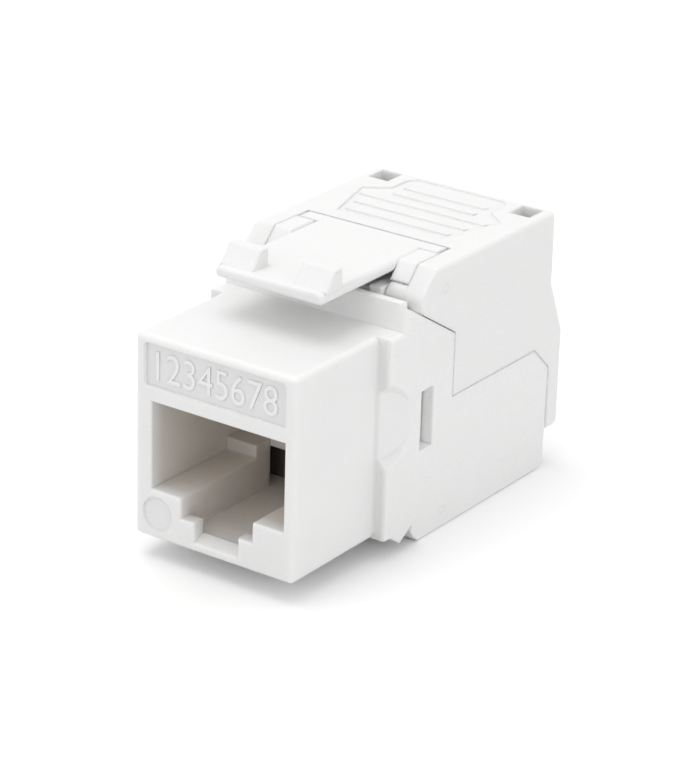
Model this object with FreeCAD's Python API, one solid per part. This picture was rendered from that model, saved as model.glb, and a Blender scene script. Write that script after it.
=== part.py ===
import FreeCAD, Part
import math
import os

# Keystone jack with a hinged rear cap.
# Built with its front face at y = 0 and its floor at z = 0, then moved so that the origin
# is at the middle of the footprint. Millimetres, +Z up, front face towards -Y.

V = FreeCAD.Vector

# ---- overall sizes ----
overall_len = 34.35
half_w = 8.3
top_z = 21.7
wall = 1.1
cut_above = 8.3
clear_z = top_z + cut_above
floor_t = 1.1
fit = 0.1
play = 0.02
# how far a solid reaches into the one it is fused to or cut from
bite = 0.1
# two places closer than this count as one
near_by = 0.02

# ---- nose that enters the panel cut-out ----
nose_step = 1.05
nose_half = half_w - nose_step
nose_z0 = 1.67
nose_drop = 3.87
nose_z1 = top_z - nose_drop
nose_len = 10.15
nose_r = 0.42
cove_r = 0.28

# ---- plug port in the nose ----
port_x = 0.3
port_wall = 1.2
port_half = nose_half - port_wall
port_z0 = 5.65
port_z1 = 12.65
port_depth = 11.05
tab_slot_half = 3.27
tab_slot_z0 = 2.8
lip_depth = 1.17
lip_slot_half = 2.0
lip_z0 = 2.35
lip_slope = 0.6
lip_top_z = 4.0
mouth_r = 0.2
shelf_r = 0.15
stop_len = 1.8
stop_h = 1.05

# ---- label pocket and moulding mark on the front ----
label_side = 0.85
label_half = nose_half - label_side
label_gap = 1.15
label_z0 = port_z1 + label_gap
label_top = 0.61
label_z1 = nose_z1 - label_top
label_depth = 0.3
label_corner = 0.35
label_r = min(label_corner, (label_z1 - label_z0) / 4)
mark_side = 2.1
mark_x = mark_side - nose_half
mark_z = 3.75
mark_r = 1.32
mark_depth = 0.12

# ---- hinge of the rear cap ----
hinge_y = 15.1
hinge_drop = 2.4
hinge_z = top_z - hinge_drop
cap_nose_r = 1.02
hinge_gap = 0.1
hinge_cut = 0.9
seam_angle = 31.3
pin_r = 0.6
pin_fit = 0.05
pin_in = 3.75
ear_in = 3.85
ear_neck = 0.7

# ---- seam between the housing and the rear cap ----
seam = 0.06
seam_y = 18.8
seam_z = 10.68
tail_t = 1.67
tail_y = overall_len - tail_t
seam_back = 2.33
tail_drop = 2.2
tail_gap = 0.09
tail_z0 = 3.2

# ---- side outline of the housing ----
tooth_y = 12.25
tooth_z = 0.8
tooth_run = 11.0
notch_y = 13.84
notch_z = 1.75
foot_y = 15.2
rear_y = tail_y - tail_gap
rear_foot_r = 0.9
body_r = 0.32
shoulder_y = 12.0
shoulder_lean = 0.3
shoulder_t = 1.3
shield_rise = 0.3
shield_w = 0.62
shield_half = 7.8
dish_r = 3.45
dish_y = 9.75
dish_z = 10.8
dish_reach = 2.95

# ---- rear cap ----
cap_wall = 1.15
cap_top_t = 1.2
cap_back_t = 1.15
cap_slope_y = 16.0
heel_reach = 1.9
cap_rear_y = overall_len - heel_reach
cap_edge_r = 0.32
cap_back_r = 0.55
knee_drop = 5.95
knee_z = top_z - knee_drop
heel_rise = 0.62
heel_z = seam_z + heel_rise
cutout_y = 20.32
cutout_lean = 0.36
cable_rise = 1.52
cable_z = seam_z + cable_rise
cable_r = 3.3
cable_clear = 0.3
rib_r = 0.22
pocket_w = 1.86
pocket_l = 2.05
pocket_side = 1.68
pocket_x = half_w - pocket_side
pocket_back = 1.7
pocket_y = cap_rear_y - pocket_back

# ---- thumb grip pressed into the cap, as shares of its length and half width ----
grip_depth = 0.14
grip_front = 1.5
grip_y0 = cutout_y + grip_front
grip_back = 0.8
grip_y1 = cap_rear_y - grip_back
grip_rows = [(0.075, 0.57), (0.25, 0.62), (0.43, 0.70), (0.59, 0.455), (0.75, 0.455)]
grip_bar = 0.095
grip_outline = [(0.0, 0.60), (0.565, 0.785), (0.71, 0.56), (0.935, 0.55), (1.0, 0.48)]

# ---- release arm ----
arm_half = 4.85
arm_front = 6.2
arm_t = 0.9
arm_nose_r = 0.38
rib_t = 0.2
rib_inset = 1.4
rib_gap = 0.2
rib_y = 13.6
head_y0 = 18.83
head_len = 1.32
head_y1 = head_y0 + head_len
head_inset = 0.22
head_t = 1.0
head_fit = 0.18
horn_h = 1.4
horn_top = top_z + horn_h
horn_set = 0.6
horn_y0 = arm_front + horn_set
horn_ramp = 1.15
horn_y1 = horn_y0 + horn_ramp
horn_crest = 0.9
horn_y2 = horn_y1 + horn_crest
horn_in = 1.82
horn_bow = 0.05
horn_r = 0.18
arm_corner_r = 0.4

# ---- terminal block inside the housing ----
block_y0 = 14.4
block_gap = 0.2
block_y1 = rear_y - wall - block_gap
deck_drop = 1.08
block_deck = seam_z - deck_drop
tower_y1 = 19.6
tower_rise = 0.3
tower_z1 = hinge_z + tower_rise
arm_clear = 0.05
cheek_in = arm_half + arm_clear
cheek_side = 1.75
cheek_out = half_w - cheek_side
cheek_back = 18.75
cheek_h = 1.28
cheek_under = top_z - cheek_h
cheek_front = 14.8
post_h = 2.8
post_top = block_deck + post_h
post_gap = 0.58
post_w = 0.84
notch_d = 1.5
notch_z0 = post_top - notch_d
trough_r = 2.4
trough_rise = 0.9
trough_z = block_deck + trough_rise

# ---- fork terminals ----
row_side = 3.8
row_x = half_w - row_side
rows_x = [-row_x, row_x]
fork_y0 = 22.1
fork_end = 2.1
fork_count = 4
fork_pitch = (block_y1 - fork_end - fork_y0) / (fork_count - 1)
fork_share = 0.635
fork_w = fork_share * fork_pitch
fork_t = 0.4
foot_sink = 0.4
fork_foot = block_deck - foot_sink
fork_h = 5.7
fork_top = fork_foot + fork_h
slot_share = 0.17
fork_slot = slot_share * fork_pitch
fork_slot_d = 2.6
fork_mouth = 0.8
notch_share = 0.38
notch_w = notch_share * fork_pitch
fork_leg = 0.5
leg_drop = 1.3
leg_z0 = block_deck - leg_drop
leg_step = 0.9
slot_clear = 0.1

# ---- board, comb and port contacts ----
board_y0 = 12.9
board_t = 1.1
board_side = 1.6
board_half = half_w - board_side
board_z0 = 2.1
board_drop = 1.23
board_z1 = nose_z1 - board_drop
board_r = 0.4
comb_y0 = 2.3
comb_drop = 1.1
comb_z1 = board_z1 - comb_drop
comb_side = 1.3
comb_half = port_half - comb_side
comb_back_z0 = 6.1
comb_slot_z0 = 8.35
comb_bridge = 0.8
comb_slot_z1 = comb_z1 - comb_bridge
comb_lip = 0.5
wire_share = 0.2147
wire_pitch = comb_half * wire_share
wire_w = 0.45
wire_t = 0.3
wire_root_y = board_y0 - play
wire_foot = 1.28
wire_foot_z = 8.8
wire_bend_y = 7.2
wire_bend_z = 10.55
wire_tip_y = 3.2
wire_tip = 0.8
wire_tip_z = 12.15
wire_path = [(wire_root_y, wire_foot_z), (wire_root_y - wire_foot, wire_foot_z),
             (wire_bend_y, wire_bend_z), (wire_tip_y + wire_tip, wire_tip_z),
             (wire_tip_y, wire_tip_z)]
wire_slot = 0.65

# ---- wire organiser ----
organiser_front = 1.28
organiser_y0 = cutout_y + organiser_front
organiser_rise = 2.22
organiser_z0 = seam_z + organiser_rise
press_rise = 0.4
press_z0 = organiser_z0 + press_rise
press_w = 0.7
press_l = 0.6
groove_half = 1.6
core_r = 2.3
core_rise = 0.7
core_z = organiser_z0 + core_rise
peg_clear = 0.08
peg_h = 0.35

# ---- window for the snap tab ----
win_y0 = 14.5
win_y1 = 16.1
win_drop = 3.08
win_z0 = seam_z - win_drop
win_h = 4.8
win_z1 = win_z0 + win_h
tab_clear = 0.12
tab_sink = 0.95


def box(x0, x1, y0, y1, z0, z1):
    return Part.makeBox(x1 - x0, y1 - y0, z1 - z0, V(x0, y0, z0))


def prism(points, x0, x1):
    # A side outline of (y, z) points, pushed across from x0 to x1.
    wire = Part.makePolygon([V(x0, y, z) for y, z in points + points[:1]])
    return Part.Face(wire).extrude(V(x1 - x0, 0, 0))


def plate(points, z0, z1):
    # A plan outline of (x, y) points, raised from z0 to z1.
    wire = Part.makePolygon([V(x, y, z0) for x, y in points + points[:1]])
    return Part.Face(wire).extrude(V(0, 0, z1 - z0))


def rod_x(r, y, z, x0, x1):
    return Part.makeCylinder(r, x1 - x0, V(x0, y, z), V(1, 0, 0))


def rod_y(r, x, z, y0, y1):
    return Part.makeCylinder(r, y1 - y0, V(x, y0, z), V(0, 1, 0))


def fuse(shapes):
    body = shapes[0]
    if len(shapes) > 1:
        body = body.fuse(shapes[1:])
    return body.removeSplitter()


def mirrored(shape):
    return shape.mirror(V(0, 0, 0), V(1, 0, 0))


def both(shape):
    return [shape, mirrored(shape)]


def picked(shape, test):
    # Straight edges whose two ends both pass the test.
    keep = []
    for edge in shape.Edges:
        if len(edge.Vertexes) == 2 and isinstance(edge.Curve, Part.Line):
            a = edge.Vertexes[0].Point
            b = edge.Vertexes[1].Point
            if test(a, b):
                keep.append(edge)
    return keep


def eased(shape, test, r):
    edges = picked(shape, test)
    if not edges:
        raise RuntimeError("no edge was found to round")
    return shape.makeFillet(r, edges)


def cove(x, y, r, z0, z1):
    # A concave corner strip that fills between a flank and the face behind it.
    side = 1 if x > 0 else -1
    block = box(min(x, x + side * r), max(x, x + side * r), y - r, y + play, z0, z1)
    round_off = Part.makeCylinder(r, z1 - z0 + 2, V(x + side * r, y - r, z0 - 1))
    return block.cut(round_off)


def near(a, b):
    return abs(a - b) < near_by


def along_x(a, b):
    return near(a.y, b.y) and near(a.z, b.z)


def seam_line(offset):
    # A point on the seam below the hinge and its direction, offset from the hinge axis.
    turn = math.radians(seam_angle)
    foot = (hinge_y - offset * math.sin(turn), hinge_z - offset * math.cos(turn))
    return foot, (math.cos(turn), -math.sin(turn))


def seam_at(offset, y):
    foot, way = seam_line(offset)
    return foot[1] + (y - foot[0]) * way[1] / way[0]


def housing_outline():
    off = cap_nose_r + hinge_gap
    slope = tail_drop / seam_back
    slant = seam * (1 + slope ** 2) ** 0.5
    front_top = shoulder_y + shoulder_lean
    return [(nose_len, nose_z0), (tooth_run, nose_z0), (tooth_y, tooth_z), (notch_y, notch_z),
            (notch_y - 0.1, notch_z - 0.6), (notch_y + 0.25, (notch_z - 0.5) / 2),
            (foot_y - 0.5, 0.12), (foot_y, 0.0), (rear_y, 0.0),
            (rear_y, seam_z - slant - slope * (rear_y - tail_y + seam_back)),
            (tail_y - seam_back - (slant - seam) / slope, seam_z - seam),
            (seam_y - seam, seam_z - seam),
            (seam_y - seam, seam_at(off, seam_y - seam)), (front_top, seam_at(off, front_top)),
            (shoulder_y, nose_z1), (nose_len, nose_z1)]


def on_flank(a, b):
    return near(a.x, b.x) and abs(a.x) > half_w - near_by


def housing_shell():
    nose = box(-nose_half, nose_half, 0, nose_len + 1.0, nose_z0, nose_z1)
    nose = eased(nose, lambda a, b: near(a.y, 0) or near(b.y, 0), nose_r)
    body = prism(housing_outline(), -half_w, half_w)
    body = eased(body, lambda a, b: along_x(a, b) and near(a.y, rear_y) and a.z < 1,
                 rear_foot_r)
    front_top = shoulder_y + shoulder_lean
    body = eased(body, lambda a, b: on_flank(a, b) and max(a.y, b.y) < front_top + near_by
                 and min(a.z, b.z) > nose_z0 - near_by and max(a.z, b.z) > nose_z1 - near_by,
                 body_r)
    body = eased(body, lambda a, b: on_flank(a, b) and min(a.y, b.y) > rear_y - tail_drop
                 and min(a.z, b.z) > rear_foot_r - near_by, body_r)
    depth = half_w - nose_half
    for side in (-1, 1):
        body = body.fuse(cove(side * nose_half, nose_len, cove_r, nose_z0 + nose_r,
                              nose_z1 - nose_r))
        # dished run-out on the flank, behind the nose
        cone = Part.makeCone(dish_r - 0.9, dish_r, depth, V(side * nose_half, dish_y, dish_z),
                             V(side, 0, 0))
        edge = side * (half_w + play)
        wedge = plate([(side * nose_half, nose_len - 0.6), (edge, nose_len + dish_reach),
                       (edge, nose_len - 0.6)], dish_z - dish_r - 1, dish_z + dish_r + 1)
        body = body.cut(cone.common(wedge))
    return nose.fuse(body)


def port_cuts():
    # Plug port, tab slot, the lip in front of it and the pocket for the comb.
    x0 = port_x - port_half
    x1 = port_x + port_half
    port = box(x0, x1, -1, board_y0, port_z0, port_z1)
    slot = box(port_x - tab_slot_half, port_x + tab_slot_half, lip_depth, port_depth,
               tab_slot_z0, port_z0 + bite)
    over = box(port_x - tab_slot_half, port_x + tab_slot_half, -1, lip_depth + bite,
               lip_top_z, port_z0 + bite)
    ramp = prism([(-0.1, lip_z0), (lip_depth + 0.01, lip_z0 + lip_slope),
                  (lip_depth + 0.01, lip_top_z + bite), (-0.1, lip_top_z + bite)],
                 port_x - lip_slot_half, port_x + lip_slot_half)
    back = box(x0, x1, port_depth, board_y0, tab_slot_z0, port_z1)
    comb = box(port_x - comb_half - fit, port_x + comb_half + fit, comb_y0 - fit, board_y0,
               port_z1 - bite, comb_z1 + fit)
    return [port, slot, over, ramp, back, comb]


def on_shelf(a, b):
    # Long top edges of the two shelves beside the tab slot.
    return (near(a.x, b.x) and near(abs(a.x - port_x), tab_slot_half) and near(a.z, port_z0)
            and near(b.z, port_z0) and abs(a.y - b.y) > 1)


def on_mouth(a, b):
    # Edges of the port where it opens through the front face.
    return all(near(p.y, 0) and abs(p.x - port_x) < port_half + near_by
               and lip_z0 - near_by < p.z < port_z1 + near_by for p in (a, b))


def front_housing():
    shape = housing_shell()
    # room for the inside pieces
    inner = half_w - wall
    board_y1 = board_y0 + board_t
    shape = shape.cut(box(-inner, inner, board_y1 + 0.15, rear_y - wall, floor_t, clear_z))
    shape = shape.cut(box(-inner, inner, shoulder_y + shoulder_t, hinge_y + hinge_cut, board_z1,
                         clear_z))
    shape = shape.cut(box(-board_half - fit, board_half + fit, board_y0 - 0.05,
                          board_y1 + 0.2, board_z0 - fit, board_z1 + fit))
    shape = shape.cut(port_cuts())
    x0 = port_x - port_half
    x1 = port_x + port_half
    shape = eased(shape, on_shelf, shelf_r)
    shape = eased(shape, on_mouth, mouth_r)
    for sx0, sx1 in ((x0 - bite, port_x - tab_slot_half), (port_x + tab_slot_half, x1 + bite)):
        shape = shape.fuse(box(sx0, sx1, port_depth - stop_len, port_depth,
                               port_z0 - bite, port_z0 + stop_h))

    # label pocket and moulding mark
    label = box(-label_half, label_half, -1, label_depth, label_z0, label_z1)
    label = eased(label, lambda a, b: abs(a.y - b.y) > label_depth, label_r)
    shape = shape.cut([label, rod_y(mark_r, mark_x, mark_z, -1, mark_depth)])

    # low lip that shields the hinge
    lip_y = shoulder_y + shoulder_lean
    base = seam_at(cap_nose_r + hinge_gap, lip_y)
    lip = box(-shield_half, shield_half, lip_y, lip_y + shield_w, base - 0.6,
              base + shield_rise)
    lip = eased(lip, lambda a, b: (along_x(a, b) and a.z > base)
                or (abs(a.z - b.z) > 0.5 and near(a.y, lip_y)), shield_rise / 2)
    shape = shape.fuse(lip)

    # windows for the snap tabs and the cable saddle at the rear
    for wx0, wx1 in ((-half_w - 1, -inner + 0.5), (inner - 0.5, half_w + 1)):
        shape = shape.cut(box(wx0, wx1, win_y0, win_y1, win_z0, win_z1))
    way = cable_r + cable_clear
    y0 = rear_y - wall
    saddle = rod_y(way, 0, cable_z, y0 - 1, rear_y + 1)
    shape = shape.cut([saddle, box(-way, way, y0 - 1, rear_y + 1, cable_z, top_z)])
    for x in (-way * 0.67, 0.0, way * 0.67):
        z = cable_z - math.sqrt(way ** 2 - x * x)
        shape = shape.fuse(rod_y(rib_r, x, z, y0, rear_y))
    return shape.removeSplitter()


def terminal_block():
    inner = half_w - wall - fit
    z0 = floor_t + play
    y0 = block_y0
    low = block_deck - 1
    base = box(-inner, inner, y0, block_y1, z0, block_deck)
    tower = box(-ear_in + 0.2, ear_in - 0.2, y0, tower_y1, low, tower_z1)
    parts = [base, tower]
    # ears that carry the cap's stub pins, stepped over the board
    top = hinge_z + pin_r + pin_fit + 0.1
    step = board_z1 + 0.35
    ear = prism([(y0, low), (tower_y1, low), (tower_y1, top), (y0 - ear_neck, top),
                 (y0 - ear_neck, step + ear_neck), (y0, step)], ear_in, cheek_in - play)
    parts += both(ear)
    # side posts with the blocks that overhang the hinge
    lean = top_z - cheek_under
    post_y = hinge_y + cap_nose_r + 0.2
    post = prism([(post_y, low), (cheek_back, low), (cheek_back, top_z),
                  (cap_slope_y, top_z), (cheek_front, top_z - lean),
                  (post_y, top_z - lean)], cheek_in, cheek_out)
    bridge = box(cheek_in - bite, cheek_in + bite, post_y, cheek_back, low,
                 top_z - arm_t - 0.35)
    parts += both(post.fuse(bridge))
    parts.append(box(-cheek_out, cheek_out, cheek_back - bite, tower_y1 + bite, low,
                     top_z - head_t - head_fit))
    # posts either side of the two terminal rows
    for x in rows_x:
        for side in (-1, 1):
            mid = x + side * (post_gap + post_w / 2)
            parts.append(box(mid - post_w / 2, mid + post_w / 2, fork_y0 - 0.9,
                             block_y1 - 0.2, low, post_top))
    # snap tabs
    tab = box(inner - bite, half_w - tab_sink, win_y0 + tab_clear, win_y1 - tab_clear,
              win_z0 + tab_clear, win_z1 - tab_clear)
    parts += both(tab)
    shape = fuse(parts)
    # bearing for the cap's stub pins
    for bore in both(rod_x(pin_r + pin_fit, hinge_y, hinge_z, ear_in - 0.3, cheek_in + 0.3)):
        shape = shape.cut(bore)
    # channels for the terminals, forward to the board
    last = fork_y0 + 3 * fork_pitch
    floor = leg_z0 - 3 * leg_step - fork_leg
    half = fork_t / 2 + slot_clear
    cuts = []
    for x in rows_x:
        cuts.append(box(x - half, x + half, y0 - 1, last + fork_w, floor - slot_clear,
                        leg_z0 + slot_clear))
        for i in range(4):
            y = fork_y0 + i * fork_pitch
            cuts.append(box(x - half, x + half, y - fork_w / 2 - slot_clear,
                            y + fork_w / 2 + slot_clear, floor - slot_clear, post_top + 1))
            # notch that locates each wire in the posts
            cuts.append(box(x - groove_half, x + groove_half, y - notch_w / 2,
                            y + notch_w / 2, notch_z0, post_top + 1))
    # trough for the cable between the rows
    cuts.append(rod_y(trough_r, 0, trough_z, tower_y1 + 0.8, block_y1 + 1))
    return shape.cut(cuts).removeSplitter()


def horn_outline():
    # Slightly hollow ramp from the arm up to a flat crest, square behind.
    mid_y = (horn_y0 + horn_y1) / 2
    mid_z = (top_z + horn_top) / 2 - horn_bow
    ramp = Part.Arc(V(horn_in, horn_y0, top_z), V(horn_in, mid_y, mid_z),
                    V(horn_in, horn_y1, horn_top)).toShape()
    pts = [(horn_y1, horn_top), (horn_y2, horn_top), (horn_y2, top_z - 0.2),
           (horn_y0, top_z - 0.2), (horn_y0, top_z)]
    edges = [ramp]
    for a, b in zip(pts, pts[1:]):
        edges.append(Part.makeLine(V(horn_in, *a), V(horn_in, *b)))
    return Part.Face(Part.Wire(edges))


def horn():
    # Every edge above the arm is rounded, but not the ones that sink into it.
    block = horn_outline().extrude(V(arm_half - horn_in, 0, 0))
    crest = [e for e in block.Edges if near(e.BoundBox.ZMax, horn_top)]
    return block.makeFillet(horn_r, crest)


def latch_arm():
    z0 = top_z - arm_t
    arm = box(-arm_half, arm_half, arm_front, head_y0 + bite, z0, top_z)
    arm = eased(arm, lambda a, b: near(a.y, arm_front) and near(a.x, b.x), arm_corner_r)
    arm = eased(arm, lambda a, b: near(a.y, arm_front) and near(b.y, arm_front), arm_nose_r)
    half = cheek_out - head_inset
    head = box(-half, half, head_y0, head_y1, top_z - head_t, top_z)
    rib = box(-arm_half + rib_inset, arm_half - rib_inset, rib_y, cheek_back - rib_gap,
              z0 - rib_t, z0 + bite)
    return fuse([arm, head, rib] + both(horn()))


def cap_profile():
    # Side outline of the cap's cheeks, with the round nose centred on the hinge.
    foot, way = seam_line(cap_nose_r)
    dy = cap_slope_y - hinge_y
    dz = top_z - hinge_z
    reach = math.hypot(dy, dz)
    swing = math.atan2(-dz, -dy) - math.asin(cap_nose_r / reach)
    run = math.sqrt(reach ** 2 - cap_nose_r ** 2)
    front = (cap_slope_y + run * math.cos(swing), top_z + run * math.sin(swing))
    a0 = math.atan2(front[1] - hinge_z, front[0] - hinge_y)
    a1 = math.atan2(foot[1] - hinge_z, foot[0] - hinge_y) + 2 * math.pi
    mid = (a0 + a1) / 2
    bend = (hinge_y + cap_nose_r * math.cos(mid), hinge_z + cap_nose_r * math.sin(mid))
    return front, bend, foot


def cap_cheek(x0, x1):
    front, bend, foot = cap_profile()
    points = [foot, (seam_y, seam_at(cap_nose_r, seam_y)), (seam_y, seam_z),
              (tail_y - seam_back, seam_z), (tail_y, seam_z - tail_drop),
              (tail_y, tail_z0), (overall_len, tail_z0 - bite), (overall_len, heel_z),
              (cap_rear_y + 0.05, knee_z), (cap_rear_y, top_z),
              (cap_slope_y, top_z), front]
    edges = [Part.Arc(V(x0, *front), V(x0, *bend), V(x0, *foot)).toShape()]
    for a, b in zip(points, points[1:]):
        edges.append(Part.makeLine(V(x0, *a), V(x0, *b)))
    return Part.Face(Part.Wire(edges)).extrude(V(x1 - x0, 0, 0))


def cap_body():
    whole = cap_cheek(-half_w, half_w)
    whole = eased(whole, lambda a, b: along_x(a, b) and near(a.z, top_z)
                  and near(a.y, cap_rear_y), cap_back_r)
    whole = eased(whole, lambda a, b: along_x(a, b) and near(a.y, overall_len)
                  and a.z > heel_z - 0.1, 0.9)
    whole = eased(whole, lambda a, b: along_x(a, b) and near(a.y, overall_len)
                  and a.z < heel_z - 0.1, tail_t / 3)
    edges = []
    for edge in whole.Edges:
        if len(edge.Vertexes) < 2:
            continue
        a = edge.Vertexes[0].Point
        b = edge.Vertexes[-1].Point
        outer = near(a.x, b.x) and abs(a.x) > half_w - near_by
        level = near(a.z, top_z) and near(b.z, top_z)
        behind = min(a.y, b.y) > cap_rear_y - cap_back_r - near_by and max(a.y, b.y) > tail_y
        corner = min(a.y, b.y) > cap_rear_y - cap_back_r - near_by and min(a.z, b.z) > knee_z - near_by
        if outer and (level or corner or (behind and min(a.z, b.z) > tail_z0 + 0.2)):
            edges.append(edge)
    return whole.makeFillet(cap_edge_r, edges)


def rear_cap():
    inner = half_w - cap_wall
    cutout = cheek_out + 0.05
    whole = cap_body()
    # inside of the shell: between the cheeks, in front of the back wall
    z1 = top_z - cap_top_t
    shell = whole.cut(box(-inner, inner, seam_y - 0.9, cap_rear_y - cap_back_t, -1, z1))
    shell = shell.cut(box(-cutout, cutout, shoulder_y - 2, seam_y, -1, z1))
    edge = prism([(shoulder_y - 4, z1 - 9), (cutout_y + cutout_lean, z1 - 9),
                  (cutout_y + cutout_lean, z1), (cutout_y, top_z), (cutout_y, top_z + 2),
                  (shoulder_y - 4, top_z + 2)], -cutout, cutout)
    shell = shell.cut(edge)
    # the back wall keeps two legs, with an arched way for the cable between them
    r = cable_r + cable_clear
    y0 = cap_rear_y - cap_back_t - 2
    arch = rod_y(r, 0, cable_z, y0, overall_len + 1)
    shell = shell.cut([arch, box(-r, r, y0, overall_len + 1, -1, cable_z)])
    ribs = []
    for deg in (50, 90, 130):
        x = r * math.cos(math.radians(deg))
        z = cable_z + r * math.sin(math.radians(deg))
        ribs.append(rod_y(rib_r, x, z, cap_rear_y - cap_back_t + bite, cap_rear_y + 0.3))
    shell = shell.fuse(ribs)
    # hinge bosses with stub pins
    boss = rod_x(cap_nose_r, hinge_y, hinge_z, cheek_in + 0.12, cutout + 0.4)
    pin = rod_x(pin_r, hinge_y, hinge_z, pin_in, cheek_in + 0.3)
    shell = shell.fuse(both(boss.fuse(pin)))
    # square pockets where the organiser is pegged in
    for x in (-pocket_x, pocket_x):
        shell = shell.cut(box(x - pocket_w / 2, x + pocket_w / 2, pocket_y - pocket_l / 2,
                              pocket_y + pocket_l / 2, z1 - 1, top_z + 1))
    return grip(shell).removeSplitter()


def grip(shape):
    span = grip_y1 - grip_y0
    right = [(share * half_w, grip_y0 + along * span) for along, share in grip_outline]
    left = [(-x, y) for x, y in reversed(right)]
    pan = plate(right + left, top_z - grip_depth, top_z + 1)
    bars = []
    length = grip_bar * span
    for along, share in grip_rows:
        y = grip_y0 + along * span
        bars.append(prism([(y, top_z - grip_depth - 0.1), (y, top_z - 0.01),
                           (y + length, top_z - grip_depth - near_by),
                           (y + length, top_z - grip_depth - 0.1)],
                          -share * half_w, share * half_w))
    return shape.cut(pan).fuse(bars)


def wire_organiser():
    half = half_w - cap_wall - 2 * fit
    z1 = top_z - cap_top_t - play
    y1 = cap_rear_y - cap_back_t - 0.4
    body = box(-half, half, organiser_y0, y1, organiser_z0, z1)
    pegs = []
    for x in (-pocket_x, pocket_x):
        reach = pocket_w / 2 - peg_clear
        pegs.append(box(max(x - reach, -half), min(x + reach, half),
                        pocket_y - pocket_l / 2 + peg_clear, y1, z1 - 1, z1 + peg_h))
    body = body.fuse(pegs)
    # two long grooves that clear the terminals while the cap swings
    press = []
    for x in rows_x:
        body = body.cut(box(x - groove_half, x + groove_half, organiser_y0 - 1, y1 + 1,
                            organiser_z0 - 1, fork_top + 0.4))
        for i in range(4):
            y = fork_y0 + i * fork_pitch
            for side in (-1, 1):
                mid = x + side * (post_gap + post_w / 2)
                press.append(box(mid - press_w / 2, mid + press_w / 2, y - press_l / 2,
                                 y + press_l / 2, press_z0, fork_top + 0.5))
    body = body.fuse(press)
    # cable trough
    body = body.cut(rod_y(core_r, 0, core_z, organiser_y0 - 1, y1 + 1))
    body = body.cut(box(-core_r, core_r, organiser_y0 - 1, y1 + 1, organiser_z0 - 1, core_z))
    return body.removeSplitter()


def contact_sled():
    x0 = port_x - comb_half
    x1 = port_x + comb_half
    y1 = board_y0 - fit
    top = box(x0, x1, comb_y0, y1, port_z1 + play, comb_z1)
    back = box(port_x - port_half + 0.05, port_x + port_half - 0.05, port_depth + play, y1,
               comb_back_z0, port_z1 - 0.05)
    tie = box(x0, x1, port_depth + play, y1, port_z1 - fit, port_z1 + fit)
    shape = top.fuse([back, tie])
    for i in range(8):
        x = port_x + (i - 3.5) * wire_pitch
        shape = shape.cut(box(x - wire_slot / 2, x + wire_slot / 2, comb_y0 + comb_lip,
                              board_y0 + 1, comb_slot_z0, comb_slot_z1))
    return shape.removeSplitter()


def circuit_board():
    board = box(-board_half, board_half, board_y0, board_y0 + board_t, board_z0, board_z1)
    return eased(board, lambda a, b: abs(a.y - b.y) > board_t / 2, board_r)


def port_contact(i):
    # One flat spring: its path is thickened by half the strip to either side.
    x = port_x + (i - 3.5) * wire_pitch
    half = wire_t / 2
    upper = []
    lower = []
    for k, (y, z) in enumerate(wire_path):
        a = wire_path[max(k - 1, 0)]
        b = wire_path[min(k + 1, len(wire_path) - 1)]
        dy = b[0] - a[0]
        dz = b[1] - a[1]
        size = math.hypot(dy, dz)
        upper.append((y - dz / size * half, z + dy / size * half))
        lower.append((y + dz / size * half, z - dy / size * half))
    shape = prism(upper + lower[::-1], x - wire_w / 2, x + wire_w / 2)
    tip = wire_path[-1][0] + wire_w
    return eased(shape, lambda a, b: along_x(a, b) and a.y < tip, 0.08)


def fork_terminal(row, i):
    x = rows_x[row]
    y = fork_y0 + i * fork_pitch
    x0 = x - fork_t / 2
    x1 = x + fork_t / 2
    leg_z = leg_z0 - i * leg_step
    half_stem = fork_w / 5
    blade = box(x0, x1, y - fork_w / 2, y + fork_w / 2, fork_foot, fork_top)
    blade = blade.cut(box(x0 - 1, x1 + 1, y - fork_slot / 2, y + fork_slot / 2,
                          fork_top - fork_slot_d, fork_top + 1))
    mouth = prism([(y - fork_w / 3, fork_top + bite), (y + fork_w / 3, fork_top + bite),
                   (y, fork_top - fork_mouth)], x0 - 1, x1 + 1)
    blade = blade.cut(mouth)
    stem = box(x0, x1, y - half_stem, y + half_stem, leg_z - fork_leg, fork_foot + bite)
    leg = box(x0, x1, board_y0 + board_t + play, y + half_stem, leg_z - fork_leg, leg_z)
    return fuse([blade, stem, leg])


def write(name, shape):
    solid = shape.Solids[0] if len(shape.Solids) == 1 else None
    if solid is None or not solid.isValid():
        raise RuntimeError(name + " is not one sound solid: %d" % len(shape.Solids))
    solid = solid.copy()
    solid.translate(V(0, -overall_len / 2, 0))
    solid.exportStep("parts/" + name + ".step")


def main():
    os.makedirs("parts", exist_ok=True)
    write("front_housing", front_housing())
    write("terminal_block", terminal_block())
    write("latch_arm", latch_arm())
    write("rear_cap", rear_cap())
    write("wire_organiser", wire_organiser())
    write("contact_sled", contact_sled())
    write("circuit_board", circuit_board())
    for i in range(8):
        write("contact_%d" % (i + 1), port_contact(i))
    for i in range(8):
        write("terminal_%d" % (i + 1), fork_terminal(i // 4, i % 4))


main()
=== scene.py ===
import bmesh
import bpy
from mathutils import Matrix, Vector


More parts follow.
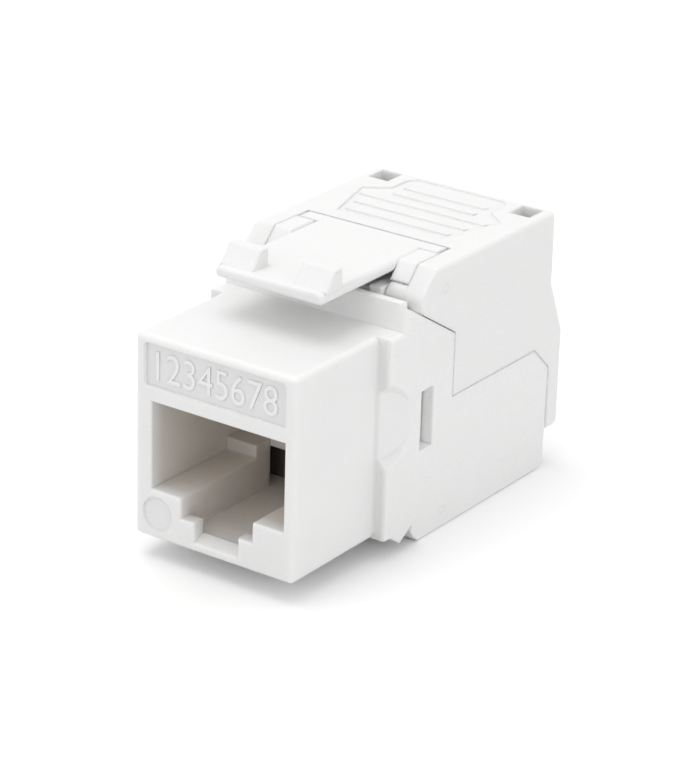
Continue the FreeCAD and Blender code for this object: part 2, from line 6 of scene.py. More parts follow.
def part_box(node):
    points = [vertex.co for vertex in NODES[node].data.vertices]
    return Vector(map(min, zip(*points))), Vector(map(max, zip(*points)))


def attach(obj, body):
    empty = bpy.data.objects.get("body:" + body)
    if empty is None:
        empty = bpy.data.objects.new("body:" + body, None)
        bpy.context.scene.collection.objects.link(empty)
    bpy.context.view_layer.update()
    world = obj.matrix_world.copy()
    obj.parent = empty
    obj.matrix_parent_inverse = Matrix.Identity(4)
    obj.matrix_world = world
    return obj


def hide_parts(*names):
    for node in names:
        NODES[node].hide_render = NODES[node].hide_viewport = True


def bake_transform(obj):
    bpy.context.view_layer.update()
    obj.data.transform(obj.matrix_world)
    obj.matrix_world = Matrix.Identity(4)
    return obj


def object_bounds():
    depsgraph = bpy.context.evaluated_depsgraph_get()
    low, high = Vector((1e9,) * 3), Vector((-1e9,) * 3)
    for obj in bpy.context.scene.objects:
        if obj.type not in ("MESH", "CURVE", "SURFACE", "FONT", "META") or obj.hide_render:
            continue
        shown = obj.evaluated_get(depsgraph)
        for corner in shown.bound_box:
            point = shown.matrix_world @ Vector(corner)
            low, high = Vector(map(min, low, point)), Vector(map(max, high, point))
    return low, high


bl_info = {
    "name": "Keystone Jack",
    "version": (1, 0, 0),
    "blender": (4, 5, 0),
    "location": "View3D > Sidebar > Keystone Jack",
    "description": "Finishes, small details and studio for a keystone jack with a hinged cap",
    "category": "Object",
}

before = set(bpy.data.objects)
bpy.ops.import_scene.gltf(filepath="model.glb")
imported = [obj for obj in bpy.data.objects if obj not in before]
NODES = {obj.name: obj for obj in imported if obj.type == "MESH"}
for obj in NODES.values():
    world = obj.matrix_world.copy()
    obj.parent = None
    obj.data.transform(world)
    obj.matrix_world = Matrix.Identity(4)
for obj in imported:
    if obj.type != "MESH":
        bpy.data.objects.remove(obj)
CAD_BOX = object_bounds()
MM = 0.001
FRONT_Y = CAD_BOX[0].y
FLOOR_Z = CAD_BOX[0].z
FLANK_X = CAD_BOX[1].x
WHITE = (1.0, 1.0, 1.0, 1.0)
SHELL_NODES = ("front_housing", "terminal_block", "latch_arm", "rear_cap", "wire_organiser")
CONTACTS = tuple("contact_%d" % (i + 1) for i in range(8))
TERMINALS = tuple("terminal_%d" % (i + 1) for i in range(8))

# Places on the housing: x from its middle, z from its floor, depths from its front face. The
# pocket holds the digits, the disc is a round moulding mark, and the cove is the rounded corner
# where the nose meets the shoulder. BLUR is half the width of a tone's soft edge.
BLUR = 0.05 * MM
FRONT_SKIN = 0.36 * MM
POCKET_HALF = 6.4 * MM
POCKET_Z0 = 13.8 * MM
POCKET_Z1 = 17.21 * MM
POCKET_DEEP = 0.3 * MM
DIGITS_Z = 15.5 * MM
DISC_X = -5.15 * MM
DISC_Z = 3.75 * MM
DISC_R = 1.31 * MM
PORT_X = 0.3 * MM
PORT_HALF = 6.05 * MM
PORT_Z0 = 2.35 * MM
PORT_Z1 = 12.65 * MM
PORT_DEEP = 13.0 * MM
# the port's painted shade deepens from MOUTH_START to MOUTH_END behind the front face
MOUTH_START = 0.25 * MM
MOUTH_END = 1.6 * MM
TAB_FLOOR_Z = 2.8 * MM
NOSE_HALF = 7.25 * MM
COVE_START = 9.86 * MM
COVE_END = 10.12 * MM
SHOULDER = 10.3 * MM
# Centres of the ejector rings on the flanks, as depth and height.
HOUSING_RING = (17.86 * MM, 1.52 * MM)
CAP_RING = (17.22 * MM, 19.8 * MM)
# A slot in white plastic narrower than this gets painted light, which keeps it pale as light
# coming through its walls would.
SLOT_GLOW = 0.6 * MM


# ---- shader maths as Python expressions ----

class Value:
    """One output socket, with the arithmetic that the finishes use."""

    def __init__(self, graph, socket):
        self.graph = graph
        self.socket = socket

    def math(self, operation, *others):
        return self.graph.node("ShaderNodeMath", {"operation": operation},
                               {i: o for i, o in enumerate((self,) + others)})

    def __add__(self, other):
        return self.math("ADD", other)

    __radd__ = __add__

    def __mul__(self, other):
        return self.math("MULTIPLY", other)

    __rmul__ = __mul__

    def __sub__(self, other):
        return self.math("SUBTRACT", other)

    def __rsub__(self, other):
        return self.graph.node("ShaderNodeMath", {"operation": "SUBTRACT"}, {0: other, 1: self})

    def __pow__(self, other):
        return self.math("POWER", other)

    def __abs__(self):
        return self.math("ABSOLUTE")

    def over(self, other):
        return self.math("GREATER_THAN", other)

    def under(self, other):
        return self.math("LESS_THAN", other)

    def high(self, other):
        return self.math("MAXIMUM", other)


class Graph:
    """The node tree of one material or world."""

    def __init__(self, owner):
        owner.use_nodes = True
        self.owner = owner
        self.tree = owner.node_tree
        self.tree.nodes.clear()

    def node(self, kind, settings=None, inputs=None, output=0):
        """Adds a node, its settings first, then the values or links of its sockets."""
        made = self.tree.nodes.new(kind)
        for key, value in (settings or {}).items():
            setattr(made, key, value)
        for key, value in (inputs or {}).items():
            socket = made.inputs[key]
            if isinstance(value, Value):
                self.tree.links.new(value.socket, socket)
            else:
                socket.default_value = value
        return Value(self, made.outputs[output]) if made.outputs else None

    def place(self):
        return self.node("ShaderNodeTexCoord", output="Object")

    def looking(self):
        """1 for what is seen, straight or by way of gloss or glass, 0 for light on the object."""
        straight, gloss, glass = [
            self.node("ShaderNodeLightPath", output=kind)
            for kind in ("Is Camera Ray", "Is Glossy Ray", "Is Transmission Ray")]
        return straight.high(gloss).high(glass)

    def axes(self, place):
        return [self.node("ShaderNodeSeparateXYZ", None, {0: place}, i) for i in range(3)]

    def noise(self, place, size, detail, rough):
        return self.node("ShaderNodeTexNoise", None,
                         {"Vector": place, "Scale": 1.0 / size, "Detail": detail,
                          "Roughness": rough})

    def mix(self, factor, a, b):
        """Colour a where factor is 0, colour b where it is 1."""
        return self.node("ShaderNodeMix", {"data_type": "RGBA"}, {0: factor, 6: a, 7: b}, 2)

    def step(self, value, lo, hi):
        """Rises smoothly from 0 at lo to 1 at hi; lo may be the larger."""
        return self.node("ShaderNodeMapRange", {"interpolation_type": "SMOOTHSTEP"},
                         {"Value": value, "From Min": lo, "From Max": hi,
                          "To Min": 0.0, "To Max": 1.0})

    def crevice(self, reach):
        """Near 1 in slots narrower than reach, 0 on open faces."""
        open_sky = self.node("ShaderNodeAmbientOcclusion", {"samples": 4}, {"Distance": reach},
                             "AO")
        return self.step(open_sky, 0.75, 0.25)

    def relief(self, height, strength, distance, round_edge=0.0):
        """A bumped normal, on edges that light sees as rounded by round_edge."""
        inputs = {"Height": height, "Strength": strength, "Distance": distance}
        if round_edge > 0.0:
            inputs["Normal"] = self.node("ShaderNodeBevel", {"samples": 6},
                                         {"Radius": round_edge})
        return self.node("ShaderNodeBump", None, inputs)

    def surface(self, inputs):
        """Ends a material: what varies comes as a link, what doesn't as a plain value."""
        shader = self.node("ShaderNodeBsdfPrincipled", None, inputs)
        self.node("ShaderNodeOutputMaterial", None, {"Surface": shader})
        return self.owner


def material_graph(name):
    return Graph(bpy.data.materials.new(name))


# ---- finishes ----

def moulded_plastic(name, colour, tint, rough, grain, edge, rings=(), tones=None,
                    glow=SLOT_GLOW, soft=0.0):
    """Spark-eroded satin moulding: fine grain, faint flow clouding and a few specks.

    Each ring is the (y, z, radius) of a shallow ejector mark on the flanks, its groove darkened
    by painted shade. The function tones(graph, place, colour) may tint some areas and paint shade
    on others, and returns the new colour. Slots narrower than glow get painted light, which keeps
    them pale as light coming through their walls would, and soft is how much light scatters below
    the skin.
    """
    g = material_graph(name)
    p = g.place()
    cloud_size = 6.0 * MM
    speck_pitch = 2.1 * MM
    dirt = (0.30, 0.28, 0.25, 1.0)
    grain_shade = (0.70, 0.70, 0.695, 1.0)
    painted_slot_light = (0.97, 0.97, 0.965, 1.0)
    fine = g.noise(p, grain, 3.0, 0.6)
    orange_peel = g.noise(p, grain * 7.0, 2.0, 0.5)
    cloud = g.noise(p, cloud_size, 3.0, 0.55)
    speck = g.node("ShaderNodeTexVoronoi", None,
                   {"Vector": p, "Scale": 1.0 / speck_pitch}).under(0.028)
    base = g.mix(g.step(cloud, 0.35, 0.65) * 0.5, colour + (1.0,), tint + (1.0,))
    base = g.mix(speck * 0.16, base, dirt)
    base = g.mix(g.step(fine, 0.3, 0.7) * 0.35, base, grain_shade)
    # painted light: slots narrower than glow are lightened in colour towards near white
    base = g.mix(g.crevice(glow) * 0.95, base, painted_slot_light)
    roughness = rough + (fine - 0.5) * 0.16 + (cloud - 0.5) * 0.1
    height = fine * 0.7 + orange_peel * 0.5
    if tones:
        base = tones(g, p, base)
    if rings:
        x, y, z = g.axes(p)
        ring_painted_shade = (0.42, 0.41, 0.40, 1.0)
        flank = abs(x).over(FLANK_X - 2.0 * BLUR)
        for ring_y, ring_z, radius in rings:
            away = ((y - ring_y) ** 2.0 + (z - ring_z) ** 2.0) ** 0.5
            ring = g.step(abs(away - radius), radius * 0.3, 0.0) * flank
            height = height - ring * 3.0
            # painted shade: each ring's groove is darkened in colour as well as bumped
            base = g.mix(ring * 0.14, base, ring_painted_shade)
    return g.surface({"Base Color": base, "Roughness": roughness,
                      "Normal": g.relief(height, 0.42, 0.02 * MM, edge), "IOR": 1.5,
                      "Subsurface Weight": soft, "Subsurface Scale": 0.5 * MM,
                      "Subsurface Radius": (1.0, 0.95, 0.88)})


def housing_tones(g, p, base):
    """A darker pocket and disc, and painted shade in the nose's cove and, warm, in the port."""
    x, y, z = g.axes(p)
    deep = y - FRONT_Y
    pocket_and_disc_grey = (0.735, 0.735, 0.735, 1.0)
    cove_painted_shade = (0.68, 0.675, 0.67, 1.0)
    warm_painted_shade = (0.70, 0.655, 0.615, 1.0)

    front = deep.under(FRONT_SKIN)
    pocket = (abs(x).under(POCKET_HALF) * g.step(z, POCKET_Z0 - BLUR, POCKET_Z0 + BLUR)
              * g.step(z, POCKET_Z1 + 0.8 * BLUR, POCKET_Z1 - 0.8 * BLUR)
              * deep.over(POCKET_DEEP - 2.0 * BLUR) * front)
    away = ((x - DISC_X) ** 2.0 + (z - DISC_Z) ** 2.0) ** 0.5
    disc = g.step(away, DISC_R + BLUR, DISC_R - BLUR) * front
    # the pocket floor and the disc are coloured a little darker than the rest of the front
    base = g.mix(pocket * 0.55 + disc * 0.35, base, pocket_and_disc_grey)

    # painted shade in the rounded corner where the nose meets the shoulder
    cove = (g.step(deep, COVE_START, COVE_END) * deep.under(SHOULDER)
            * abs(x).over(NOSE_HALF - BLUR))
    base = g.mix(cove * 0.35, base, cove_painted_shade)

    # warm painted shade inside the port, deepening from its mouth inwards, in patches, and lighter
    # on the tab slot's floor
    port = (abs(x - PORT_X).under(PORT_HALF + BLUR) * z.over(PORT_Z0 + BLUR)
            * z.under(PORT_Z1 + BLUR) * g.step(deep, MOUTH_START, MOUTH_END)
            * deep.under(PORT_DEEP))
    painted_shade_patches = g.noise(p, 1.6 * MM, 3.0, 0.6)
    tab_floor = z.under(TAB_FLOOR_Z + 4.0 * BLUR)
    return g.mix(port * (0.55 + painted_shade_patches * 0.5) * (1.0 - tab_floor * 0.45), base, warm_painted_shade)


def gold_plate(name, colour):
    """Bright gold over drawn strip: streaks run along the spring."""
    g = material_graph(name)
    p = g.place()
    drawn = g.node("ShaderNodeMapping", None, {"Vector": p, "Scale": (1.0, 0.08, 0.3)})
    streak = g.noise(drawn, 0.06 * MM, 3.0, 0.6)
    wear = g.noise(p, 0.9 * MM, 2.0, 0.5)
    worn = (0.72, 0.50, 0.20, 1.0)
    base = g.mix(g.step(wear, 0.4, 0.75) * 0.35, colour + (1.0,), worn)
    return g.surface({"Base Color": base, "Roughness": 0.2 + streak * 0.2, "Metallic": 1.0,
                      "Normal": g.relief(streak, 0.25, 0.01 * MM, 0.05 * MM)})


def tinned_strip(name, colour):
    """Dull tin over stamped bronze, a little yellow where the shears cut it."""
    g = material_graph(name)
    p = g.place()
    patch = g.noise(p, 0.5 * MM, 3.0, 0.6)
    bloom = g.noise(p, 0.08 * MM, 2.0, 0.5)
    bronze = (0.60, 0.50, 0.36, 1.0)
    base = g.mix(g.step(patch, 0.52, 0.72) * 0.6, colour + (1.0,), bronze)
    return g.surface({"Base Color": base, "Roughness": 0.3 + bloom * 0.22, "Metallic": 1.0,
                      "Normal": g.relief(bloom, 0.3, 0.01 * MM, 0.04 * MM)})


def solder_mask(name, colour, copper):
    """Dark mask over tracks: straight runs stand slightly proud and read lighter."""
    g = material_graph(name)
    p = g.place()
    track_scale = 150.0
    run = g.node("ShaderNodeTexWave", {"wave_type": "BANDS", "bands_direction": "X"},
                 {"Vector": p, "Scale": track_scale, "Distortion": 3.0, "Detail": 0.0,
                  "Detail Scale": 0.6})
    track = g.step(run, 0.72, 0.8)
    weave = g.noise(p, 0.1 * MM, 2.0, 0.5)
    base = g.mix(track * 0.55, colour + (1.0,), copper + (1.0,))
    return g.surface({"Base Color": base, "Roughness": 0.28 + weave * 0.14, "IOR": 1.5,
                      "Normal": g.relief(track + weave * 0.15, 0.6, 0.04 * MM, 0.06 * MM)})


def solder(name, colour):
    """Bright solder, frosted in patches where it cooled slowly."""
    g = material_graph(name)
    frost = g.noise(g.place(), 0.12 * MM, 3.0, 0.6)
    frosted = (0.52, 0.53, 0.55, 1.0)
    base = g.mix(frost * 0.5, colour + (1.0,), frosted)
    return g.surface({"Base Color": base, "Roughness": 0.22 + frost * 0.25, "Metallic": 1.0,
                      "Normal": g.relief(frost, 0.3, 0.01 * MM)})


# ---- helpers for pieces ----

def add_object(name, data):
    obj = bpy.data.objects.new(name, data)
    bpy.context.scene.collection.objects.link(obj)
    return obj


def dress(obj, material):
    obj.data.materials.clear()
    obj.data.materials.append(material)


def new_piece(name, mesh_maker, material, body, smooth=True):
    """A piece whose mesh is made in place by mesh_maker(bm); body None leaves it to blend."""
    mesh = bpy.data.meshes.new(name)
    bm = bmesh.new()
    mesh_maker(bm)
    bm.to_mesh(mesh)
    bm.free()
    obj = add_object(name, mesh)
    if smooth:
        for polygon in mesh.polygons:
            polygon.use_smooth = True
    dress(obj, material)
    if body:
        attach(obj, body)
    return obj


def bending_copy(name, node_name, root_y, free_y, steps):
    """Stands for a sprung node: a copy cut across in steps from root_y to free_y, left with no
    body.
    """
    node = NODES[node_name]
    weld = 0.001 * MM
    on_plane = 0.0001 * MM

    def cut_across(bm):
        bm.from_mesh(node.data)
        bmesh.ops.remove_doubles(bm, verts=bm.verts[:], dist=weld)
        for i in range(steps + 1):
            cut_y = root_y + (free_y - root_y) * i / steps
            bmesh.ops.bisect_plane(
                bm, geom=bm.verts[:] + bm.edges[:] + bm.faces[:], dist=on_plane,
                plane_co=(0.0, cut_y, 0.0), plane_no=(0.0, 1.0, 0.0))

    piece = new_piece(name, cut_across, node.data.materials[0], None, smooth=False)
    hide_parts(node_name)
    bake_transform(piece)


def digit_mesh(digits):
    """The row of digits as one closed mesh in letter heights, with a soft edge round each face."""
    resolution = 6
    half_depth = 0.05
    weld = 0.004
    flat = 0.01
    soft_edge = 0.012
    curve = bpy.data.curves.new("pocket_digits", "FONT")
    curve.body = digits
    curve.align_x = "CENTER"
    curve.align_y = "CENTER"
    curve.size = 1.0
    curve.extrude = half_depth
    curve.resolution_u = resolution
    text = add_object("pocket_digits_curve", curve)
    bpy.context.view_layer.update()
    graph = bpy.context.evaluated_depsgraph_get()
    mesh = bpy.data.meshes.new_from_object(text.evaluated_get(graph))
    bpy.data.objects.remove(text)
    if not mesh.vertices:
        raise RuntimeError("the digits have no faces")
    bm = bmesh.new()
    bm.from_mesh(mesh)
    bmesh.ops.remove_doubles(bm, verts=bm.verts[:], dist=weld)
    bmesh.ops.dissolve_limit(bm, angle_limit=flat, verts=bm.verts[:], edges=bm.edges[:])
    bm.normal_update()
    rim = [e for e in bm.edges if len(e.link_faces) == 2
           and any(f.normal.z > 0.9 for f in e.link_faces)
           and any(abs(f.normal.z) < 0.1 for f in e.link_faces)]
    bmesh.ops.bevel(bm, geom=rim, offset=soft_edge, offset_type="OFFSET", affect="EDGES",
                    segments=2, profile=0.5, material=-1, clamp_overlap=True)
    loose = sum(len(e.link_faces) != 2 for e in bm.edges)
    bm.to_mesh(mesh)
    bm.free()
    if loose:
        raise RuntimeError("the digits have %d open edges" % loose)
    mesh.name = "pocket_digits"
    return mesh


def stand_in_pocket(mesh, height, widest, relief):
    """Stands the digits up on the pocket's floor: letter x along x, y up, z to the front."""
    sink = 0.02 * MM
    xs = [v.co.x for v in mesh.vertices]
    ys = [v.co.y for v in mesh.vertices]
    zs = [v.co.z for v in mesh.vertices]
    scale = height / (max(ys) - min(ys))
    narrow = min(1.0, widest / ((max(xs) - min(xs)) * scale))
    raised = relief / (max(zs) - min(zs))
    back_centre = Vector(((max(xs) + min(xs)) / 2, (max(ys) + min(ys)) / 2, min(zs)))
    turn = Matrix(((scale * narrow, 0, 0, 0), (0, 0, -raised, 0), (0, scale, 0, 0),
                   (0, 0, 0, 1)))
    floor_y = FRONT_Y + POCKET_DEEP
    mesh.transform(Matrix.Translation((0.0, floor_y + sink, DIGITS_Z)) @ turn
                   @ Matrix.Translation(-back_centre))


# ---- parts of the stage ----

def lay_floor():
    half = 1.2
    drop = 0.02 * MM
    pale = (0.80, 0.80, 0.80, 1.0)
    mesh = bpy.data.meshes.new("studio_floor")
    bm = bmesh.new()
    bmesh.ops.create_grid(bm, x_segments=2, y_segments=2, size=half)
    bm.to_mesh(mesh)
    bm.free()
    floor = add_object("studio_floor", mesh)
    floor.location.z = FLOOR_Z - drop
    g = material_graph("studio_floor")
    dress(floor, g.surface({"Base Color": g.mix(g.looking(), pale, WHITE), "Roughness": 0.9,
                            "Specular IOR Level": 0.0}))


def surround(fill):
    """Even light of strength fill on the object, in front of a plain white background."""
    world = bpy.data.worlds.new("studio_world")
    bpy.context.scene.world = world
    g = Graph(world)
    strength = g.node("ShaderNodeMix", {"data_type": "FLOAT"},
                      {0: g.looking(), 2: fill, 3: 1.0})
    shade = g.node("ShaderNodeBackground", None, {"Color": WHITE, "Strength": strength})
    g.node("ShaderNodeOutputWorld", None, {"Surface": shade})


def soft_lamp(name, place, size, power):
    """A round soft light that shines on the object's lower middle."""
    aim = Vector((0, 0, 0.01))
    data = bpy.data.lights.new(name, "AREA")
    data.shape = "DISK"
    data.size = size
    data.energy = power
    lamp = add_object(name, data)
    lamp.location = place
    lamp.rotation_euler = (aim - Vector(place)).to_track_quat("-Z", "Y").to_euler()


def place_camera(lens):
    """Looks down on the front and the right flank; back points from the object to it."""
    place = Vector((0.12842, -0.16854 + FRONT_Y, 0.10515))
    back = Vector((0.5265, -0.7565, 0.3880)).normalized()
    right = Vector((0.8141, 0.5801, 0.0264))
    right = (right - back * right.dot(back)).normalized()
    up = back.cross(right)
    data = bpy.data.cameras.new("camera")
    data.sensor_width = 36.0
    data.lens = lens
    data.clip_start = 0.01
    data.clip_end = 10.0
    camera = add_object("camera", data)
    camera.matrix_world = (Matrix.Translation(place)
                           @ Matrix((right, up, back)).transposed().to_4x4())
    bpy.context.scene.camera = camera


# ---- what a user would change ----

class JackFinish(bpy.types.PropertyGroup):
    shell_colour: bpy.props.FloatVectorProperty(
        name="Shell colour", description="Colour of the white mouldings", subtype="COLOR",
        size=3, min=0.0, max=1.0, default=(0.835, 0.835, 0.832))
    shell_tint: bpy.props.FloatVectorProperty(
        name="Flow tint", description="Colour of the faint clouding in the mouldings",
        subtype="COLOR", size=3, min=0.0, max=1.0, default=(0.81, 0.81, 0.805))
    shell_rough: bpy.props.FloatProperty(
        name="Shell roughness", description="Roughness of the satin moulded skin",
        subtype="FACTOR", min=0.05, max=1.0, default=0.46)
    grain: bpy.props.FloatProperty(
        name="Grain", description="Width of one grain of the moulded texture",
        unit="LENGTH", min=0.01 * MM, default=0.11 * MM)
    edge: bpy.props.FloatProperty(
        name="Edge softness", description="Radius that light sees on moulded edges",
        unit="LENGTH", min=0.0, default=0.22 * MM)
    soft: bpy.props.FloatProperty(
        name="Scattering", description="How much light scatters below the moulded skin",
        subtype="FACTOR", min=0.0, max=1.0, default=0.6)
    gold: bpy.props.FloatVectorProperty(
        name="Gold", description="Colour of the port contacts", subtype="COLOR",
        size=3, min=0.0, max=1.0, default=(0.86, 0.62, 0.24))
    tin: bpy.props.FloatVectorProperty(
        name="Tin", description="Colour of the fork terminals", subtype="COLOR",
        size=3, min=0.0, max=1.0, default=(0.70, 0.69, 0.66))
    mask: bpy.props.FloatVectorProperty(
        name="Board mask", description="Colour of the solder mask", subtype="COLOR",
        size=3, min=0.0, max=1.0, default=(0.105, 0.088, 0.08))
    copper: bpy.props.FloatVectorProperty(
        name="Board tracks", description="Colour of the copper tracks under the mask",
        subtype="COLOR", size=3, min=0.0, max=1.0, default=(0.15, 0.125, 0.105))
    solder: bpy.props.FloatVectorProperty(
        name="Solder", description="Colour of the solder joints", subtype="COLOR",
        size=3, min=0.0, max=1.0, default=(0.66, 0.67, 0.68))


class JackDetails(bpy.types.PropertyGroup):
    digits: bpy.props.StringProperty(
        name="Pocket digits", description="Plain pin numbers raised in the front pocket",
        default="12345678")
    digit_height: bpy.props.FloatProperty(
        name="Digit height", description="Height of the raised digits",
        unit="LENGTH", min=0.5 * MM, default=2.3 * MM)
    digit_row: bpy.props.FloatProperty(
        name="Digit row", description="Widest that the row of digits may be",
        unit="LENGTH", min=1.0 * MM, default=11.0 * MM)
    digit_relief: bpy.props.FloatProperty(
        name="Digit relief", description="Thickness of the digits on the pocket floor",
        unit="LENGTH", min=0.02 * MM, default=0.08 * MM)
    ring_radius: bpy.props.FloatProperty(
        name="Ejector rings", description="Radius of the small moulding marks on the flanks",
        unit="LENGTH", min=0.1 * MM, default=0.34 * MM)
    arm_root: bpy.props.FloatProperty(
        name="Arm root", description="Where the release arm starts to bend, from the nose",
        unit="LENGTH", min=0.0, default=18.88 * MM)
    arm_bend: bpy.props.FloatProperty(
        name="Arm bend", description="Length of the release arm over which it bends",
        unit="LENGTH", min=1.0 * MM, default=5.8 * MM)
    contact_root: bpy.props.FloatProperty(
        name="Contact root", description="Where the port contacts leave the board",
        unit="LENGTH", min=0.0, default=12.88 * MM)
    contact_bend: bpy.props.FloatProperty(
        name="Contact bend", description="Length of a port contact over which it bends",
        unit="LENGTH", min=0.2 * MM, default=1.28 * MM)
    arm_steps: bpy.props.IntProperty(
        name="Arm steps", description="Cuts across the bending part of the release arm",
        min=2, default=14)
    contact_steps: bpy.props.IntProperty(
        name="Contact steps", description="Cuts across the bending part of a port contact",
        min=2, default=6)


class JackStage(bpy.types.PropertyGroup):
    lens: bpy.props.FloatProperty(
        name="Lens", description="Focal length on a 36 mm frame", default=151.08, min=10.0)
    key_power: bpy.props.FloatProperty(
        name="Key power", description="Power of the overhead soft light", unit="POWER",
        default=0.325, min=0.0)
    front_share: bpy.props.FloatProperty(
        name="Front share", description="Power of the light in front, as a share of the key",
        subtype="FACTOR", min=0.0, max=1.0, default=0.29)
    side_power: bpy.props.FloatProperty(
        name="Side power", description="Power of the soft light on the right flank",
        unit="POWER", default=0.172, min=0.0)
    fill: bpy.props.FloatProperty(
        name="Fill", description="Strength of the even studio light", default=0.84, min=0.0)


# ---- operators: one for each piece or group of like pieces ----

class JACK_OT_shells(bpy.types.Operator):
    """Gives the white mouldings their satin grain"""
    bl_idname = "jack.shells"
    bl_label = "Shell finishes"

    def execute(self, context):
        f = context.scene.jack_finish
        radius = context.scene.jack_details.ring_radius
        # each moulding is its own batch, a little darker than the one before
        batch_shift = 0.006
        # reach of the painted light in each moulding's slots
        glow = {"front_housing": 1.2 * MM, "terminal_block": 6.0 * MM}
        rings = {"front_housing": (HOUSING_RING,), "rear_cap": (CAP_RING,)}
        tones = {"front_housing": housing_tones}
        for number, name in enumerate(SHELL_NODES):
            shift = 1.0 - batch_shift * number
            colour = tuple(c * shift for c in f.shell_colour)
            places = [(FRONT_Y + deep, z, radius) for deep, z in rings.get(name, ())]
            # scattering shows as a dark rim round a piece as thin as the arm
            soft = 0.0 if name == "latch_arm" else f.soft
            dress(NODES[name], moulded_plastic(
                "plastic_" + name, colour, tuple(f.shell_tint), f.shell_rough, f.grain, f.edge,
                places, tones.get(name), glow.get(name, SLOT_GLOW), soft))
        comb_shade = 0.93
        comb_rough = 0.4
        comb = tuple(c * comb_shade for c in f.shell_colour)
        dress(NODES["contact_sled"], moulded_plastic("plastic_comb", comb, comb, comb_rough,
                                                     f.grain, f.edge * 0.5))
        return {"FINISHED"}


class JACK_OT_release_arm(bpy.types.Operator):
    """Cuts the release arm across where it bends, between its fixed head and its free nose"""
    bl_idname = "jack.release_arm"
    bl_label = "Release arm"

    def execute(self, context):
        d = context.scene.jack_details
        root_y = FRONT_Y + d.arm_root
        bending_copy("release_arm", "latch_arm", root_y, root_y - d.arm_bend,
                     d.arm_steps)
        return {"FINISHED"}


class JACK_OT_contacts(bpy.types.Operator):
    """Plates the port contacts with gold and cuts each one across where it bends from its root"""
    bl_idname = "jack.contacts"
    bl_label = "Port contacts"

    def execute(self, context):
        gold = gold_plate("gold_plate", tuple(context.scene.jack_finish.gold))
        d = context.scene.jack_details
        root_y = FRONT_Y + d.contact_root
        for number, name in enumerate(CONTACTS):
            dress(NODES[name], gold)
            bending_copy("port_spring_%d" % (number + 1), name,
                         root_y, root_y - d.contact_bend, d.contact_steps)
        return {"FINISHED"}


class JACK_OT_terminals(bpy.types.Operator):
    """Tins the fork terminals"""
    bl_idname = "jack.terminals"
    bl_label = "Fork terminals"

    def execute(self, context):
        tin = tinned_strip("tinned_strip", tuple(context.scene.jack_finish.tin))
        for name in TERMINALS:
            dress(NODES[name], tin)
        return {"FINISHED"}


class JACK_OT_board(bpy.types.Operator):
    """Finishes the board and adds its solder joints"""
    bl_idname = "jack.board"
    bl_label = "Circuit board"

    def execute(self, context):
        f = context.scene.jack_finish
        dress(NODES["circuit_board"], solder_mask("board_mask", tuple(f.mask), tuple(f.copper)))
        face_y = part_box("circuit_board")[0].y
        row_z = (3.55 * MM, 4.95 * MM)
        pitch = 1.62 * MM
        row_shift = 0.4 * MM
        radius = 0.36 * MM
        flattened = (1.0, 0.45, 1.0)

        def joints(bm):
            for row, z in enumerate(row_z):
                for i in range(4):
                    x = PORT_X + (i - 1.5) * pitch + row * row_shift
                    dome = bmesh.ops.create_uvsphere(bm, u_segments=20, v_segments=10,
                                                     radius=radius)
                    bmesh.ops.scale(bm, vec=flattened, verts=dome["verts"])
                    bmesh.ops.translate(bm, vec=(x, face_y, z), verts=dome["verts"])

        new_piece("solder_joints", joints, solder("solder", tuple(f.solder)), "base")
        return {"FINISHED"}


class JACK_OT_digits(bpy.types.Operator):
    """Raises plain pin numbers in the front pocket"""
    bl_idname = "jack.digits"
    bl_label = "Pocket digits"

    def execute(self, context):
        d = context.scene.jack_details
        f = context.scene.jack_finish
        mesh = digit_mesh(d.digits)
        stand_in_pocket(mesh, d.digit_height, d.digit_row, d.digit_relief)
        piece = add_object("pocket_digits", mesh)
        bright = tuple(min(0.86, c * 1.05) for c in f.shell_colour)
        dress(piece, moulded_plastic("plastic_digits", bright, bright, f.shell_rough, f.grain,
                                     d.digit_relief * 0.4))
        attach(piece, "base")
        return {"FINISHED"}


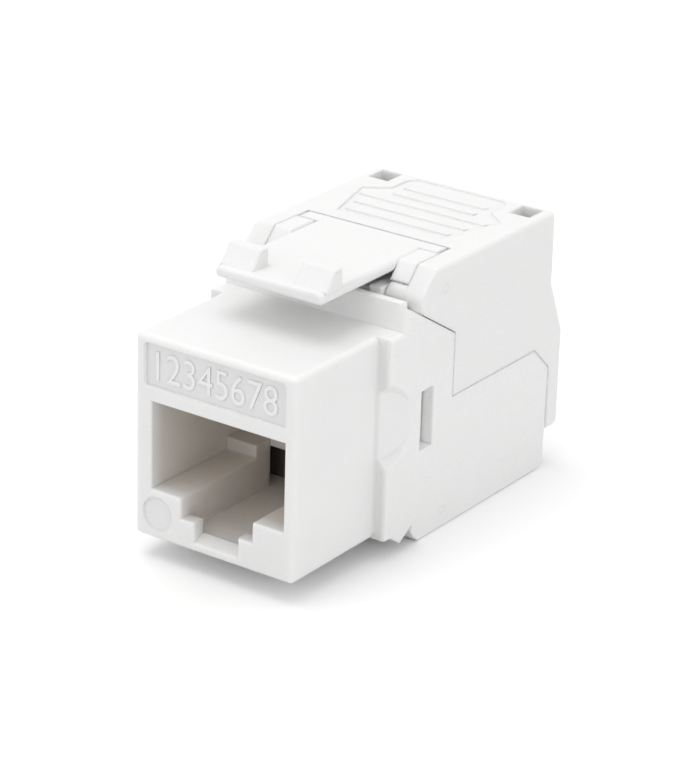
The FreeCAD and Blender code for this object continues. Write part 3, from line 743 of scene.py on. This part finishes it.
class JACK_OT_stage(bpy.types.Operator):
    """Sets the floor, the soft studio light and the camera"""
    bl_idname = "jack.stage"
    bl_label = "Studio stage"

    def execute(self, context):
        s = context.scene.jack_stage
        context.scene.view_settings.view_transform = "Standard"
        lay_floor()
        surround(s.fill)
        soft_lamp("top_softbox", place=(-0.06, -0.02, 0.32), size=0.26, power=s.key_power)
        soft_lamp("front_softbox", place=(-0.16, -0.30, 0.16), size=0.22,
                  power=s.key_power * s.front_share)
        soft_lamp("side_softbox", place=(0.34, -0.05, 0.09), size=0.26, power=s.side_power)
        place_camera(s.lens)
        return {"FINISHED"}


class JACK_PT_sidebar(bpy.types.Panel):
    """Lists the pieces of the jack and the sizes and colours behind them"""
    bl_idname = "JACK_PT_sidebar"
    bl_label = "Keystone Jack"
    bl_space_type = "VIEW_3D"
    bl_region_type = "UI"
    bl_category = "Keystone Jack"

    def draw(self, context):
        for group in ("jack_finish", "jack_details", "jack_stage"):
            data = getattr(context.scene, group)
            box = self.layout.box()
            for key in data.__annotations__:
                box.prop(data, key)
        for step in STEPS:
            self.layout.operator(step.bl_idname)


GROUPS = (JackFinish, JackDetails, JackStage)
STEPS = (JACK_OT_shells, JACK_OT_release_arm, JACK_OT_contacts, JACK_OT_terminals,
         JACK_OT_board, JACK_OT_digits, JACK_OT_stage)


def register():
    for cls in GROUPS + STEPS + (JACK_PT_sidebar,):
        bpy.utils.register_class(cls)
    bpy.types.Scene.jack_finish = bpy.props.PointerProperty(type=JackFinish)
    bpy.types.Scene.jack_details = bpy.props.PointerProperty(type=JackDetails)
    bpy.types.Scene.jack_stage = bpy.props.PointerProperty(type=JackStage)


def unregister():
    del bpy.types.Scene.jack_stage
    del bpy.types.Scene.jack_details
    del bpy.types.Scene.jack_finish
    for cls in reversed(GROUPS + STEPS + (JACK_PT_sidebar,)):
        bpy.utils.unregister_class(cls)


def main():
    register()
    bpy.ops.jack.shells()
    bpy.ops.jack.release_arm()
    bpy.ops.jack.contacts()
    bpy.ops.jack.terminals()
    bpy.ops.jack.board()
    bpy.ops.jack.digits()
    bpy.ops.jack.stage()


if __name__ == "__main__":
    main()
